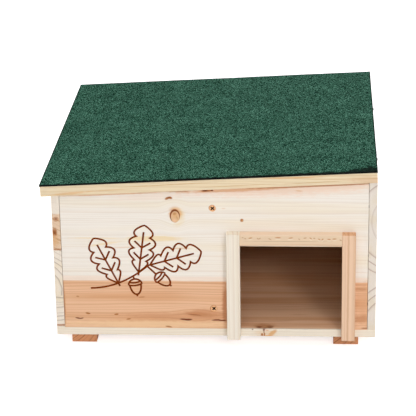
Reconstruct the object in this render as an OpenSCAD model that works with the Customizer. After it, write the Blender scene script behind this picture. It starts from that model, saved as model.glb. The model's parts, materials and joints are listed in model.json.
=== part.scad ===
// Wooden hedgehog house: a box of pine boards on two runners, with a framed doorway,
// an inner partition and a felted roof that is hinged along its high side.
// X runs to the right, Y to the rear and Z up. The origin is on the ground, under the
// middle of the overall footprint.

/* [Body] */
// Width of the box over the side panels
body_w = 481; // [400:1:600]
// Depth of the box from the front face to the rear face
body_d = 497; // [400:1:600]
// Thickness of the floor, wall and partition boards
board_t = 12; // [10:0.5:18]
// Height of the right side panel above the floor, at its outer face
high_wall_h = 236; // [220:1:300]
// Slope of the roof, down towards the left, in degrees
roof_slope = 2.8; // [1:0.1:5]

/* [Roof] */
// Thickness of the roof board
roof_t = 16; // [12:0.5:22]
// Thickness of the roofing felt
felt_t = 2.5; // [1.5:0.1:4]
// Reach of the roof board past the left side panel
eave_overhang = 14.5; // [5:0.5:40]
// Reach of the roof board past the front and rear faces
verge_overhang = 4; // [2:0.5:40]
// Reach of the felt past the edges of the roof board
felt_lap = 0.6; // [0.4:0.1:2]
// Gap between the tops of the walls and the closed roof
lid_gap = 0.3; // [0.2:0.05:1]

/* [Doorway] */
// Clear width between the jambs
door_w = 151; // [120:1:160]
// Clear height under the lintel, above the floor
door_h = 140; // [110:1:160]
// Distance of the right jamb from the right end of the front
jamb_side_gap = 31; // [24:1:60]
// Width of the jambs, seen from the front
jamb_w = 20; // [16:0.5:24]
// Height of the lintel, seen from the front
lintel_h = 18; // [16:0.5:30]
// How far the frame stands out from the front panel
frame_d = 15; // [14:0.5:25]
// How far the cut-out in the front panel lies back behind the frame's inner edges
door_reveal = 3; // [1:0.5:5]

/* [Partition] */
// Distance of the partition from the left jamb, seen from the front
partition_jamb_gap = 14; // [5:0.5:40]
// Length of the partition from the front panel
partition_len = 300; // [200:5:330]
// Gap between the partition's top and the walls' top plane
partition_gap = 3; // [1:0.5:10]

/* [Runners] */
// Width of the runners
runner_w = 38; // [30:0.5:50]
// Height of the runners
runner_h = 20; // [15:0.5:40]
// Distance of the runners' ends from the front and rear faces
runner_setback = 17; // [14:0.5:40]
// Distance of the left runner from the left end of the base board
left_runner_inset = 20; // [17:0.5:60]
// Distance of the right runner from the right end of the base board
right_runner_inset = 25; // [17:0.5:60]

/* [Wood screws] */
// Shank diameter
screw_d = 4.5; // [3:0.1:5]
// Diameter of the countersunk head
screw_head_d = 10; // [7:0.1:10.2]
// Depth of the straight rim at the edge of the head
screw_rim = 0.4; // [0.2:0.1:0.8]
// Length of the pointed tip
screw_tip = 5; // [3:0.5:6]
// Width of the cross recess's arms; the round middle is up to twice as wide
recess_w = 1.9; // [0.8:0.1:2]
// Span of the cross recess
recess_span = 6.8; // [3.5:0.1:7]
// Depth of the cross recess
recess_depth = 1.8; // [1:0.1:2]
// Angle at which the screws stop when they are driven home
recess_turn = 48; // [0:1:90]
// How far a wall screw bites into the board that it holds
wall_bite = 23; // [15:1:26]
// How far a frame screw bites into its jamb or lintel
frame_bite = 10; // [7:0.5:11]
// How far a runner screw bites into the base board
runner_bite = 8; // [6:0.5:8]
// Clearance around a screw in its hole
screw_clear = 0.1; // [0.05:0.05:0.2]
// Distance of the outer base screws from the ends of a wall
base_screw_inset = 60; // [40:1:90]
// Number of base screws in each side panel and in the rear panel
base_screw_count = 3; // [2:1:5]
// Distance of the outer side screws from the panels' top and bottom edges
side_screw_inset = 40; // [38:1:60]
// Number of side screws in each corner
side_screw_count = 3; // [2:1:4]
// Distance of the outer runner screws from the runner's ends
runner_screw_inset = 40; // [25:1:90]
// Number of screws in each runner
runner_screw_count = 3; // [2:1:5]
// Height of the lower partition screw above the floor
partition_screw_low = 33; // [30:1:60]
// Distance of the upper partition screw below the partition's top
partition_screw_top = 27; // [15:1:60]
// Distance of the jamb screws above the floor and below the lintel
jamb_screw_inset = 26; // [15:1:50]
// Distance of the lintel screws from the jambs
lintel_screw_inset = 30; // [15:1:50]

/* [Hinges] */
// Length of a hinge
hinge_len = 50; // [40:1:70]
// Distance of a leaf's edge from the top of the roof board
leaf_margin = 3; // [2:0.1:4]
// Thickness of a leaf
leaf_t = 1.2; // [1.1:0.1:1.4]
// Outer diameter of the knuckles
knuckle_d = 4.2; // [4:0.1:5]
// Diameter of the pin
pin_d = 2; // [1.6:0.1:2.4]
// Radial clearance between pin and knuckles
pin_clear = 0.05; // [0.02:0.01:0.08]
// Clearance between neighbouring knuckles, and round a knuckle in the other leaf
knuckle_clear = 0.3; // [0.2:0.05:0.5]
// Clearance between the knuckles and the wood behind them
seat_clear = 0.3; // [0.2:0.05:0.5]
// Clearance round a leaf in the recess that it is let into
leaf_clear = 0.2; // [0.1:0.05:0.4]
// Distance of a hinge's middle from the front or rear face
hinge_inset = 125; // [80:1:160]
// Shank diameter of the hinge screws
hinge_screw_d = 2.5; // [2:0.1:2.8]
// Head diameter of the hinge screws
hinge_screw_head_d = 4.6; // [4:0.1:4.8]
// Depth of the straight rim at the edge of a hinge screw's head
hinge_screw_rim = 0.1; // [0.05:0.05:0.15]
// Length of a hinge screw's pointed tip
hinge_screw_tip = 3; // [2:0.5:4]
// How far a hinge screw bites into the wood
hinge_screw_bite = 8; // [6:0.5:9]
// Distance of the hinge screws from the hinge's ends
hinge_screw_inset = 8; // [6:0.5:10]
// Distance of the hinge screws from the leaf's outer edge
hinge_screw_edge = 5.5; // [4:0.5:6]
// Width of the cross recess's arms in a hinge screw
hinge_recess_w = 0.7; // [0.5:0.1:0.9]
// Span of the cross recess in a hinge screw
hinge_recess_span = 2.8; // [2:0.1:3]
// Depth of the cross recess in a hinge screw
hinge_recess_depth = 0.9; // [0.5:0.1:1.2]

/* [Hidden] */
$fn = 48;
// Overshoot that lets a cut pass cleanly through a face
cut = 1;

cream_pine = [0.92, 0.87, 0.79];
red_pine = [0.86, 0.71, 0.58];
roof_pine = [0.89, 0.80, 0.66];
runner_pine = [0.70, 0.46, 0.31];
green_felt = [0.20, 0.35, 0.29];
yellow_zinc = [0.78, 0.62, 0.33];
bright_zinc = [0.72, 0.73, 0.74];

// Box
side_x = body_w / 2;
inner_x = side_x - board_t;
floor_z = runner_h + board_t;
wall_mid = board_t / 2;

// Doorway and its frame
door_r = side_x - jamb_side_gap - jamb_w;
door_l = door_r - door_w;
cut_l = door_l - door_reveal;
cut_r = door_r + door_reveal;
lintel_z = floor_z + door_h;
frame_top = lintel_z + lintel_h;

// Partition
partition_r = door_l - jamb_w - partition_jamb_gap;
partition_l = partition_r - board_t;
partition_x = partition_r - board_t / 2;

// Hinge axis, and the roof's own frame, whose origin is on that axis
leaf_back = knuckle_d / 2 + seat_clear;
axis_off = leaf_back - leaf_t;
axis_x = side_x + axis_off;
axis_z = floor_z + high_wall_h + axis_off * tan(roof_slope) + lid_gap / 2 / cos(roof_slope);
roof_len = (body_w + eave_overhang) / cos(roof_slope);
roof_v = lid_gap / 2;
leaf_w = roof_v + roof_t - leaf_margin;
felt_top_v = roof_v + roof_t + felt_t;
hinge_y = [hinge_inset, body_d - hinge_inset];

// Knuckle spans along the axis: two outer ones on the fixed leaf, one between them on the moving leaf
outer_knuckles = [[-hinge_len / 2, -hinge_len / 6], [hinge_len / 6, hinge_len / 2]];
middle_knuckle = [[knuckle_clear - hinge_len / 6, hinge_len / 6 - knuckle_clear]];

// Screw rows
wall_screw_len = board_t + wall_bite;
frame_screw_len = board_t + frame_bite;
runner_screw_len = runner_h + runner_bite;
hinge_screw_len = leaf_t + hinge_screw_bite;
side_base_y = row(base_screw_inset, body_d - base_screw_inset, base_screw_count);
rear_base_x = row(base_screw_inset - inner_x, inner_x - base_screw_inset, base_screw_count);
front_base_x = [base_screw_inset - inner_x, cut_l - base_screw_inset, (cut_r + inner_x) / 2];
partition_top = wall_top(partition_l) - partition_gap;
partition_front_z = [floor_z + partition_screw_low, partition_top - partition_screw_top];
partition_base_y = [board_t + base_screw_inset, board_t + partition_len - base_screw_inset];
runner_y = row(runner_setback + runner_screw_inset, body_d - runner_setback - runner_screw_inset,
               runner_screw_count);
left_runner_x = left_runner_inset + runner_w / 2 - side_x;
right_runner_x = side_x - right_runner_inset - runner_w / 2;
jamb_screw_z = [floor_z + jamb_screw_inset, lintel_z - jamb_screw_inset];
left_jamb_screw_x = (door_l - jamb_w + cut_l) / 2;
right_jamb_screw_x = (door_r + jamb_w + cut_r) / 2;
lintel_screw_z = (lintel_z + door_reveal + frame_top) / 2;

// Move that puts the origin under the middle of the overall footprint
x_low = axis_x - (axis_off + roof_len + felt_lap) * cos(roof_slope) - felt_top_v * sin(roof_slope);
x_high = max(axis_x + knuckle_d / 2,
             axis_x - (axis_off - felt_lap) * cos(roof_slope) - (felt_top_v - felt_t) * sin(roof_slope));
y_low = -max(frame_d, verge_overhang + felt_lap);
y_high = body_d + verge_overhang + felt_lap;

// Evenly spaced places from a to b
function row(a, b, count) = [for (i = [0 : count - 1]) a + (b - a) * i / (count - 1)];
// Height of the walls' top plane at x
function wall_top(x) = axis_z + (x - axis_x) * tan(roof_slope) - lid_gap / 2 / cos(roof_slope);

module placed() {
    translate([-(x_low + x_high) / 2, -(y_low + y_high) / 2, 0]) children();
}

module in_roof_frame() {
    translate([axis_x, 0, axis_z]) rotate([0, -roof_slope, 0]) children();
}

// Screw along -Z, with the top of its countersunk head at z = 0
module cross_screw(d, head_d, rim, tip, len, arm_w, span, depth) {
    head_h = (head_d - d) / 2;
    difference() {
        union() {
            translate([0, 0, -rim]) cylinder(d = head_d, h = rim);
            translate([0, 0, -rim - head_h]) cylinder(d1 = d, d2 = head_d, h = head_h);
            translate([0, 0, tip - len]) cylinder(d = d, h = len - tip - rim);
            translate([0, 0, -len]) cylinder(d1 = d / 6, d2 = d, h = tip);
        }
        for (turn = [0, 90])
            rotate([0, 0, turn + recess_turn])
                translate([-span / 2, -arm_w / 2, -depth]) cube([span, arm_w, depth + cut]);
        translate([0, 0, -depth]) cylinder(d1 = 1.5 * arm_w, d2 = 2 * arm_w, h = depth + cut);
    }
}

// Hole that such a screw sits in, open above its head
module screw_seat(d, head_d, rim, len) {
    head_h = (head_d - d) / 2;
    translate([0, 0, -rim]) cylinder(d = head_d + 2 * screw_clear, h = rim + cut);
    translate([0, 0, -rim - head_h])
        cylinder(d1 = d + 2 * screw_clear, d2 = head_d + 2 * screw_clear, h = head_h);
    translate([0, 0, -len - screw_clear]) cylinder(d = d + 2 * screw_clear, h = len + screw_clear - rim);
}

module wood_screw(len) {
    color(yellow_zinc)
        cross_screw(screw_d, screw_head_d, screw_rim, screw_tip, len, recess_w, recess_span, recess_depth);
}

module wood_screw_seat(len) {
    screw_seat(screw_d, screw_head_d, screw_rim, len);
}

module hinge_screw() {
    color(bright_zinc)
        cross_screw(hinge_screw_d, hinge_screw_head_d, hinge_screw_rim, hinge_screw_tip, hinge_screw_len,
                    hinge_recess_w, hinge_recess_span, hinge_recess_depth);
}

module hinge_screw_seat() {
    screw_seat(hinge_screw_d, hinge_screw_head_d, hinge_screw_rim, hinge_screw_len);
}

// Places of the screws, each with the head's top at its origin and the shank along -Z
module at_side_screws(side) {
    top = wall_top(side * side_x);
    heights = row(floor_z + side_screw_inset, top - side_screw_inset, side_screw_count);
    for (y = [wall_mid, body_d - wall_mid], z = heights)
        translate([side * side_x, y, z]) rotate([0, side * 90, 0]) children();
}

module at_base_screws() {
    for (x = [-1, 1] * (side_x - wall_mid), y = side_base_y)
        translate([x, y, runner_h]) rotate([180, 0, 0]) children();
    for (x = front_base_x)
        translate([x, wall_mid, runner_h]) rotate([180, 0, 0]) children();
    for (x = rear_base_x)
        translate([x, body_d - wall_mid, runner_h]) rotate([180, 0, 0]) children();
}

module at_partition_base_screws() {
    for (y = partition_base_y)
        translate([partition_x, y, runner_h]) rotate([180, 0, 0]) children();
}

module at_partition_front_screws() {
    for (z = partition_front_z)
        translate([partition_x, 0, z]) rotate([90, 0, 0]) children();
}

module at_runner_screws(x) {
    for (y = runner_y)
        translate([x, y, 0]) rotate([180, 0, 0]) children();
}

module at_jamb_screws(x) {
    for (z = jamb_screw_z)
        translate([x, board_t, z]) rotate([-90, 0, 0]) children();
}

module at_lintel_screws() {
    for (x = [door_l + lintel_screw_inset, door_r - lintel_screw_inset])
        translate([x, board_t, lintel_screw_z]) rotate([-90, 0, 0]) children();
}

// Places of the screws in a leaf that stands up from the hinge's axis, at the hinge's middle
module at_leaf_screws() {
    for (y = [-1, 1] * (hinge_len / 2 - hinge_screw_inset))
        translate([-axis_off, y, leaf_w - hinge_screw_edge]) rotate([0, 90, 0]) children();
}

// Recess in the wood that lets such a leaf lie flush with the face
module leaf_recess() {
    translate([-leaf_back, -hinge_len / 2 - leaf_clear, -cut])
        cube([leaf_t + cut, hinge_len + 2 * leaf_clear, leaf_w + leaf_clear + cut]);
}

// Frame of a hinge's fixed leaf, which hangs down from the axis, and of its moving leaf
module in_wall_leaf_frame(y) {
    translate([axis_x, y, axis_z]) mirror([0, 0, 1]) children();
}

module in_lid_leaf_frame(y) {
    in_roof_frame() translate([0, y, 0]) children();
}

// Board whose outline, in X and Z, runs the whole way from one y to another
module upright_board(y0, y1, outline) {
    translate([0, y1, 0]) rotate([90, 0, 0]) linear_extrude(y1 - y0) polygon(outline);
}

function wall_outline(x0, x1) = [[x0, floor_z], [x1, floor_z], [x1, wall_top(x1)], [x0, wall_top(x0)]];

module base_board() {
    color(cream_pine) difference() {
        translate([-side_x, 0, runner_h]) cube([body_w, body_d, board_t]);
        at_base_screws() wood_screw_seat(wall_screw_len);
        at_partition_base_screws() wood_screw_seat(wall_screw_len);
        for (x = [left_runner_x, right_runner_x])
            at_runner_screws(x) wood_screw_seat(runner_screw_len);
    }
}

module left_side_panel() {
    color(cream_pine) difference() {
        upright_board(0, body_d, wall_outline(-side_x, -inner_x));
        at_side_screws(-1) wood_screw_seat(wall_screw_len);
        at_base_screws() wood_screw_seat(wall_screw_len);
    }
}

module right_side_panel() {
    color(cream_pine) difference() {
        upright_board(0, body_d, wall_outline(inner_x, side_x));
        at_side_screws(1) wood_screw_seat(wall_screw_len);
        at_base_screws() wood_screw_seat(wall_screw_len);
        for (y = hinge_y)
            in_wall_leaf_frame(y) {
                leaf_recess();
                at_leaf_screws() hinge_screw_seat();
            }
    }
}

module front_panel() {
    color(cream_pine) difference() {
        upright_board(0, board_t, wall_outline(-inner_x, inner_x));
        translate([cut_l, -cut, floor_z - cut])
            cube([cut_r - cut_l, board_t + 2 * cut, door_h + door_reveal + cut]);
        for (side = [-1, 1])
            at_side_screws(side) wood_screw_seat(wall_screw_len);
        at_base_screws() wood_screw_seat(wall_screw_len);
        at_partition_front_screws() wood_screw_seat(wall_screw_len);
        for (x = [left_jamb_screw_x, right_jamb_screw_x])
            at_jamb_screws(x) wood_screw_seat(frame_screw_len);
        at_lintel_screws() wood_screw_seat(frame_screw_len);
    }
}

module rear_panel() {
    color(cream_pine) difference() {
        upright_board(body_d - board_t, body_d, wall_outline(-inner_x, inner_x));
        for (side = [-1, 1])
            at_side_screws(side) wood_screw_seat(wall_screw_len);
        at_base_screws() wood_screw_seat(wall_screw_len);
    }
}

module inner_partition() {
    color(cream_pine) difference() {
        translate([partition_l, board_t, floor_z])
            cube([board_t, partition_len, partition_top - floor_z]);
        at_partition_front_screws() wood_screw_seat(wall_screw_len);
        at_partition_base_screws() wood_screw_seat(wall_screw_len);
    }
}

// Jamb from the base board's underside to the top of the lintel
module jamb(x, screw_x) {
    difference() {
        translate([x, -frame_d, runner_h]) cube([jamb_w, frame_d, frame_top - runner_h]);
        at_jamb_screws(screw_x) wood_screw_seat(frame_screw_len);
    }
}

module left_jamb() {
    color(cream_pine) jamb(door_l - jamb_w, left_jamb_screw_x);
}

module right_jamb() {
    color(red_pine) jamb(door_r, right_jamb_screw_x);
}

module lintel() {
    color(red_pine) difference() {
        translate([door_l, -frame_d, lintel_z]) cube([door_w, frame_d, lintel_h]);
        at_lintel_screws() wood_screw_seat(frame_screw_len);
    }
}

module runner(x) {
    color(runner_pine) difference() {
        translate([x - runner_w / 2, runner_setback, 0])
            cube([runner_w, body_d - 2 * runner_setback, runner_h]);
        at_runner_screws(x) wood_screw_seat(runner_screw_len);
    }
}

module left_runner() {
    runner(left_runner_x);
}

module right_runner() {
    runner(right_runner_x);
}

module left_side_screws() {
    at_side_screws(-1) wood_screw(wall_screw_len);
}

module right_side_screws() {
    at_side_screws(1) wood_screw(wall_screw_len);
}

module base_screws() {
    at_base_screws() wood_screw(wall_screw_len);
}

module runner_screws() {
    for (x = [left_runner_x, right_runner_x])
        at_runner_screws(x) wood_screw(runner_screw_len);
}

module partition_front_screws() {
    at_partition_front_screws() wood_screw(wall_screw_len);
}

module partition_base_screws() {
    at_partition_base_screws() wood_screw(wall_screw_len);
}

module left_jamb_screws() {
    at_jamb_screws(left_jamb_screw_x) wood_screw(frame_screw_len);
}

module right_jamb_screws() {
    at_jamb_screws(right_jamb_screw_x) wood_screw(frame_screw_len);
}

module lintel_screws() {
    at_lintel_screws() wood_screw(frame_screw_len);
}

// Round bar along the hinge's axis, between two places on it
module along_axis(span, d) {
    translate([0, span[1], 0]) rotate([90, 0, 0]) cylinder(d = d, h = span[1] - span[0]);
}

// Leaf that stands up from the hinge's axis, with its own knuckles and room for the other's
module hinge_leaf(own, others) {
    color(bright_zinc) difference() {
        union() {
            translate([-leaf_back, -hinge_len / 2, 0]) cube([leaf_t, hinge_len, leaf_w]);
            for (span = own)
                along_axis(span, knuckle_d);
        }
        for (span = others)
            along_axis(span + [-1, 1] * knuckle_clear, knuckle_d + 2 * seat_clear + 2 * knuckle_clear);
        along_axis([-1, 1] * (hinge_len / 2 + cut), pin_d + 2 * pin_clear);
        at_leaf_screws() hinge_screw_seat();
    }
}

module wall_leaf(y) {
    in_wall_leaf_frame(y) hinge_leaf(outer_knuckles, middle_knuckle);
}

module lid_leaf(y) {
    in_lid_leaf_frame(y) hinge_leaf(middle_knuckle, outer_knuckles);
}

module hinge_pin(y) {
    color(bright_zinc) translate([axis_x, y, axis_z]) along_axis([-1, 1] * hinge_len / 2, pin_d);
}

module front_hinge_wall_leaf() {
    wall_leaf(hinge_y[0]);
}

module rear_hinge_wall_leaf() {
    wall_leaf(hinge_y[1]);
}

module front_hinge_lid_leaf() {
    lid_leaf(hinge_y[0]);
}

module rear_hinge_lid_leaf() {
    lid_leaf(hinge_y[1]);
}

module front_hinge_pin() {
    hinge_pin(hinge_y[0]);
}

module rear_hinge_pin() {
    hinge_pin(hinge_y[1]);
}

module wall_leaf_screws() {
    for (y = hinge_y)
        in_wall_leaf_frame(y) at_leaf_screws() hinge_screw();
}

module lid_leaf_screws() {
    for (y = hinge_y)
        in_lid_leaf_frame(y) at_leaf_screws() hinge_screw();
}

module roof_board() {
    color(roof_pine) difference() {
        in_roof_frame() translate([-axis_off - roof_len, -verge_overhang, roof_v])
            cube([roof_len, body_d + 2 * verge_overhang, roof_t]);
        for (y = hinge_y)
            in_lid_leaf_frame(y) {
                leaf_recess();
                at_leaf_screws() hinge_screw_seat();
            }
    }
}

module roof_felt() {
    color(green_felt) in_roof_frame()
        translate([-axis_off - roof_len - felt_lap, -verge_overhang - felt_lap, roof_v + roof_t])
            cube([roof_len + 2 * felt_lap, body_d + 2 * verge_overhang + 2 * felt_lap, felt_t]);
}

placed() base_board();
placed() left_side_panel();
placed() right_side_panel();
placed() front_panel();
placed() rear_panel();
placed() inner_partition();
placed() left_jamb();
placed() right_jamb();
placed() lintel();
placed() left_runner();
placed() right_runner();
placed() left_side_screws();
placed() right_side_screws();
placed() base_screws();
placed() runner_screws();
placed() partition_front_screws();
placed() partition_base_screws();
placed() left_jamb_screws();
placed() right_jamb_screws();
placed() lintel_screws();
placed() front_hinge_wall_leaf();
placed() rear_hinge_wall_leaf();
placed() front_hinge_pin();
placed() rear_hinge_pin();
placed() wall_leaf_screws();
placed() roof_board();
placed() roof_felt();
placed() front_hinge_lid_leaf();
placed() rear_hinge_lid_leaf();
placed() lid_leaf_screws();
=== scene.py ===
"""Looks of a wooden hedgehog house: eased pine boards, an engraved sprig, mineral felt and plated steel."""

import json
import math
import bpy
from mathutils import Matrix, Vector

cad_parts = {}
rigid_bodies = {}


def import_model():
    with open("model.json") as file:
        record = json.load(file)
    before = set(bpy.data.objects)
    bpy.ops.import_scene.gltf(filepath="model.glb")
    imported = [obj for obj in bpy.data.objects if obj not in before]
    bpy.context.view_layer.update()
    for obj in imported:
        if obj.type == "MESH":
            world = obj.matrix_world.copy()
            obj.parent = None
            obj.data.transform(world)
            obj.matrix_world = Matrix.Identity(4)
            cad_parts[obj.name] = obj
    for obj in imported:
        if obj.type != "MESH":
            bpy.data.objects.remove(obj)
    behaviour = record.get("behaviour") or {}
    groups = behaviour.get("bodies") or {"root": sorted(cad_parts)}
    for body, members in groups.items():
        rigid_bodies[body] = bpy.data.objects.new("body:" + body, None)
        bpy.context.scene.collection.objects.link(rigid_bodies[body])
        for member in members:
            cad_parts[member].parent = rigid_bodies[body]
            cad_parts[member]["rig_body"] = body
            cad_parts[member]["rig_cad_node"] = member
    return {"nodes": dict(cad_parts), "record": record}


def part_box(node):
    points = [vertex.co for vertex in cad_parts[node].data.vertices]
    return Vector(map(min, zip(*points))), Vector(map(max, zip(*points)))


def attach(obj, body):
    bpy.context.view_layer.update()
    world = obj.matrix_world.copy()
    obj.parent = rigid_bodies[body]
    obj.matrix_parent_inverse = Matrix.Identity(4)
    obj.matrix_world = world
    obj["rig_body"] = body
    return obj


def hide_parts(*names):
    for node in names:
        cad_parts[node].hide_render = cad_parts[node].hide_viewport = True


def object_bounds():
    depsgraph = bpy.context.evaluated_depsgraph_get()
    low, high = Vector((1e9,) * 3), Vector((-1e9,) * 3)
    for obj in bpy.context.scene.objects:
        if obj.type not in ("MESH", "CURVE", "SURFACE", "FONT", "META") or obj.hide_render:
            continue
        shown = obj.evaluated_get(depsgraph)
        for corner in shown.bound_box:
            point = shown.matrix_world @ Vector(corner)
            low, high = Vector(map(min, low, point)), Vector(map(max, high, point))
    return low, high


bl_info = {
    "name": "Hedgehog House Looks",
    "version": (1, 0, 0),
    "blender": (4, 5, 0),
    "location": "3D View > Sidebar > Hedgehog House",
    "description": "Dresses the packed hedgehog house with timber, felt and metal finishes",
    "category": "Object",
}

import bmesh
import bpy
from bpy.props import FloatProperty, FloatVectorProperty, IntProperty, PointerProperty
from bpy.types import NodeSocket, Operator, Panel, PropertyGroup
from mathutils import Matrix, Vector

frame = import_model()
cad_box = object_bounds()

MM = 0.001


def linear(hex_code):
    """Linear RGB of an sRGB hex colour."""
    channels = [int(hex_code[i:i + 2], 16) / 255 for i in (1, 3, 5)]
    return tuple(c / 12.92 if c <= 0.04045 else ((c + 0.055) / 1.055) ** 2.4 for c in channels)


def colour(title, words, hex_code):
    """Colour property with an sRGB hex default."""
    return FloatVectorProperty(
        name=title, description=words, subtype="COLOR", size=3, min=0.0, max=1.0, default=linear(hex_code))


def length(title, words, millimetres):
    """Length property with its default in millimetres."""
    return FloatProperty(name=title, description=words, unit="LENGTH", precision=5, default=millimetres * MM)


def angle(title, words, degrees):
    """Angle property with its default in degrees."""
    return FloatProperty(name=title, description=words, subtype="ANGLE", default=math.radians(degrees))


def amount(title, words, default, unit="NONE"):
    """Number property that isn't below 0."""
    return FloatProperty(name=title, description=words, unit=unit, min=0.0, default=default)


class HouseSizes(PropertyGroup):
    """Sizes of the details that the boards, the engraving and the felt have."""

    board_ease: length("Board ease", "How far the boards' arrises are sanded back", 0.6)
    batten_ease: length("Batten ease", "How far the door frame's and runners' arrises are sanded back", 0.8)
    ease_steps: IntProperty(name="Ease steps", description="Facets across an eased arris", default=2, min=1)
    joint_gap: length("Joint gap", "Open joint at the front panel's top left; the others are narrower", 0.6)
    sprig_x: length("Sprig across", "Middle of the engraved sprig, to the right of the origin", -96)
    sprig_z: length("Sprig up", "Middle of the engraved sprig, above the ground", 143)
    groove_width: length("Groove width", "Width of the engraved line", 3.1)
    groove_depth: length("Groove depth", "Depth of the engraved line", 0.9)
    grit_step: length("Grit step", "Spacing of the felt's surface mesh", 2.0)
    grit_relief: length("Grit relief", "Height of the mineral grit", 0.25)
    felt_swell: length("Felt swell", "Height of the felt's slow unevenness", 0.5)


class HouseColours(PropertyGroup):
    """Colours of the timber, felt and metal."""

    cream_early: colour("Cream earlywood", "Pale sapwood between the year lines", "#F2EAE0")
    cream_late: colour("Cream latewood", "Year lines in the sapwood", "#DCC8B2")
    cream_streak: colour("Cream streak", "Slow warm bands in the sapwood", "#F0E5D3")
    blush: colour("Blush", "Pink zone in the sapwood", "#F0D6C2")
    resin: colour("Resin", "Yellow streaks in the sapwood", "#EED7AE")
    amber: colour("Amber", "Orange lines and the surround of a knot", "#DDAA74")
    heart_early: colour("Heart earlywood", "Red-brown heartwood between the year lines", "#EABE9A")
    heart_late: colour("Heart latewood", "Year lines in the heartwood", "#C3855B")
    heart_streak: colour("Heart streak", "Slow bands in the heartwood", "#DCA67D")
    heart_pale: colour("Heart pale", "Light band along the bottom of the heartwood", "#F0CA9F")
    fleck: colour("Fleck", "Dark flecks in the heartwood and the pith of knots", "#6E2F14")
    knot_rim: colour("Knot rim", "Dark bark ring round a knot", "#8A4A22")
    knot_core: colour("Knot core", "Wood inside a knot", "#E0B88F")
    # Knot brown also paints part of the shadow line under the roof
    knot_brown: colour("Knot brown", "Small knots and the line under the roof", "#AC6A30")
    peach_early: colour("Peach earlywood", "Pale wood of the right jamb", "#EBC8AA")
    peach_late: colour("Peach latewood", "Year lines of the right jamb", "#CE9C77")
    honey_early: colour("Honey earlywood", "Pale wood of the lintel", "#E5CBAD")
    honey_late: colour("Honey latewood", "Year lines of the lintel", "#C99468")
    straw_early: colour("Straw earlywood", "Pale wood of the roof board", "#E9D6B5")
    straw_late: colour("Straw latewood", "Year lines of the roof board", "#CFA877")
    runner_early: colour("Runner earlywood", "Pale wood of the runners", "#DDA075")
    runner_late: colour("Runner latewood", "Year lines of the runners", "#95552F")
    end_line: colour("End line", "Year lines on the cut ends", "#75502E")
    burn: colour("Burnt line", "Scorched floor of the engraving", "#79330F")
    singe: colour("Singed edge", "Brown wood along the arrises of the engraving", "#B06A26")
    grit_dark: colour("Dark grit", "Darkest mineral grains", "#00150E")
    grit_mid: colour("Green grit", "Most of the mineral grains", "#0E4231")
    grit_light: colour("Light grit", "Palest mineral grains", "#6EA68E")
    bitumen: colour("Bitumen", "Cut edge and back of the felt", "#060606")
    yellow_zinc: colour("Yellow zinc", "Plating on the wood screws", "#D09F76")
    bright_zinc: colour("Bright zinc", "Plating on the hinges", "#C9CCCE")


class StageSettings(PropertyGroup):
    """Camera, lamps and floor."""

    camera_place: FloatVectorProperty(
        name="Camera place", description="Where the camera stands", subtype="TRANSLATION", unit="LENGTH",
        default=(0.16345, -2.79975, 1.1986))
    camera_yaw: angle("Camera yaw", "Turn to the left of straight ahead", 3.695)
    camera_pitch: angle("Camera pitch", "Tilt below level", 20.78)
    camera_roll: angle("Camera roll", "Turn about the view", -0.991)
    camera_lens: amount("Lens", "Focal length on a 36 mm sensor", 161.1, "CAMERA")
    sky_level: amount("Sky level", "Mean strength of the dome light", 0.336)
    key_power: amount("Key power", "Lamp at the front right", 47.7, "POWER")
    front_power: amount("Front power", "Lamp beside the camera", 27.4, "POWER")
    left_power: amount("Left power", "Lamp at the left side", 13.0, "POWER")
    right_power: amount("Right power", "Lamp at the right side", 11.0, "POWER")
    top_power: amount("Top power", "Lamp overhead", 29.0, "POWER")
    rear_power: amount("Rear power", "Lamp behind", 25.0, "POWER")
    floor: colour("Floor", "Pale floor", "#F4F4F4")
    floor_glow: amount("Floor glow", "Share of white that the camera sees besides the lit floor", 0.68)


def feed(tree, node, inputs):
    """Link or set a node's inputs."""
    for key, value in inputs.items():
        if isinstance(value, NodeSocket):
            tree.links.new(value, node.inputs[key])
        else:
            node.inputs[key].default_value = value


def add(tree, kind, inputs=None, stops=None, **settings):
    """Add a node, make its settings, set or link its inputs, and place its colour stops."""
    node = tree.nodes.new(kind)
    for key, value in settings.items():
        setattr(node, key, value)
    feed(tree, node, inputs or {})
    if stops:
        ramp = node.color_ramp.elements
        ramp[0].position, ramp[1].position = stops[0][0], stops[-1][0]
        for place, _ in stops[1:-1]:
            ramp.new(place)
        for element, (_, value) in zip(ramp, stops):
            element.color = value
    return node


def new_material(name):
    """Node material with a Principled shader, its tree, that shader and the texture coordinates."""
    material = bpy.data.materials.new(name)
    material.use_nodes = True
    tree = material.node_tree
    tree.nodes.clear()
    shader = add(tree, "ShaderNodeBsdfPrincipled")
    add(tree, "ShaderNodeOutputMaterial", {"Surface": shader.outputs["BSDF"]})
    return material, tree, shader, add(tree, "ShaderNodeTexCoord").outputs


def opaque(rgb):
    """Colour property as RGBA."""
    return (*rgb, 1.0)


def mottled(tree, place, rgb, size, detail, low, high):
    """Colour that clouds between two strengths of itself, and the clouds."""
    cloud = add(tree, "ShaderNodeTexNoise",
                {"Vector": place, "Scale": 1 / size, "Detail": detail}).outputs["Fac"]
    tone = Vector(rgb)
    stops = [(0.3, opaque(tone * low)), (0.7, opaque(tone * high))]
    return add(tree, "ShaderNodeValToRGB", {"Fac": cloud}, stops).outputs["Color"], cloud


def grain_clouds(tree, mm, along, across, detail):
    """Clouds drawn out along the grain, as a number and as a colour, with their sizes in millimetres."""
    longer = add(tree, "ShaderNodeVectorMath", {0: mm, 1: (1 / along, 1 / across, 1 / across)},
                 operation="MULTIPLY").outputs[0]
    return add(tree, "ShaderNodeTexNoise", {"Vector": longer, "Scale": 1.0, "Detail": detail}).outputs


GRAIN_ORDER = {"X": "XYZ", "Y": "YXZ", "Z": "ZXY"}
ENDLESS = 1e5
BEND_REACH = 3.5
LOG_TAPER = 0.012
END_WEIGHT = 0.85
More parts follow.
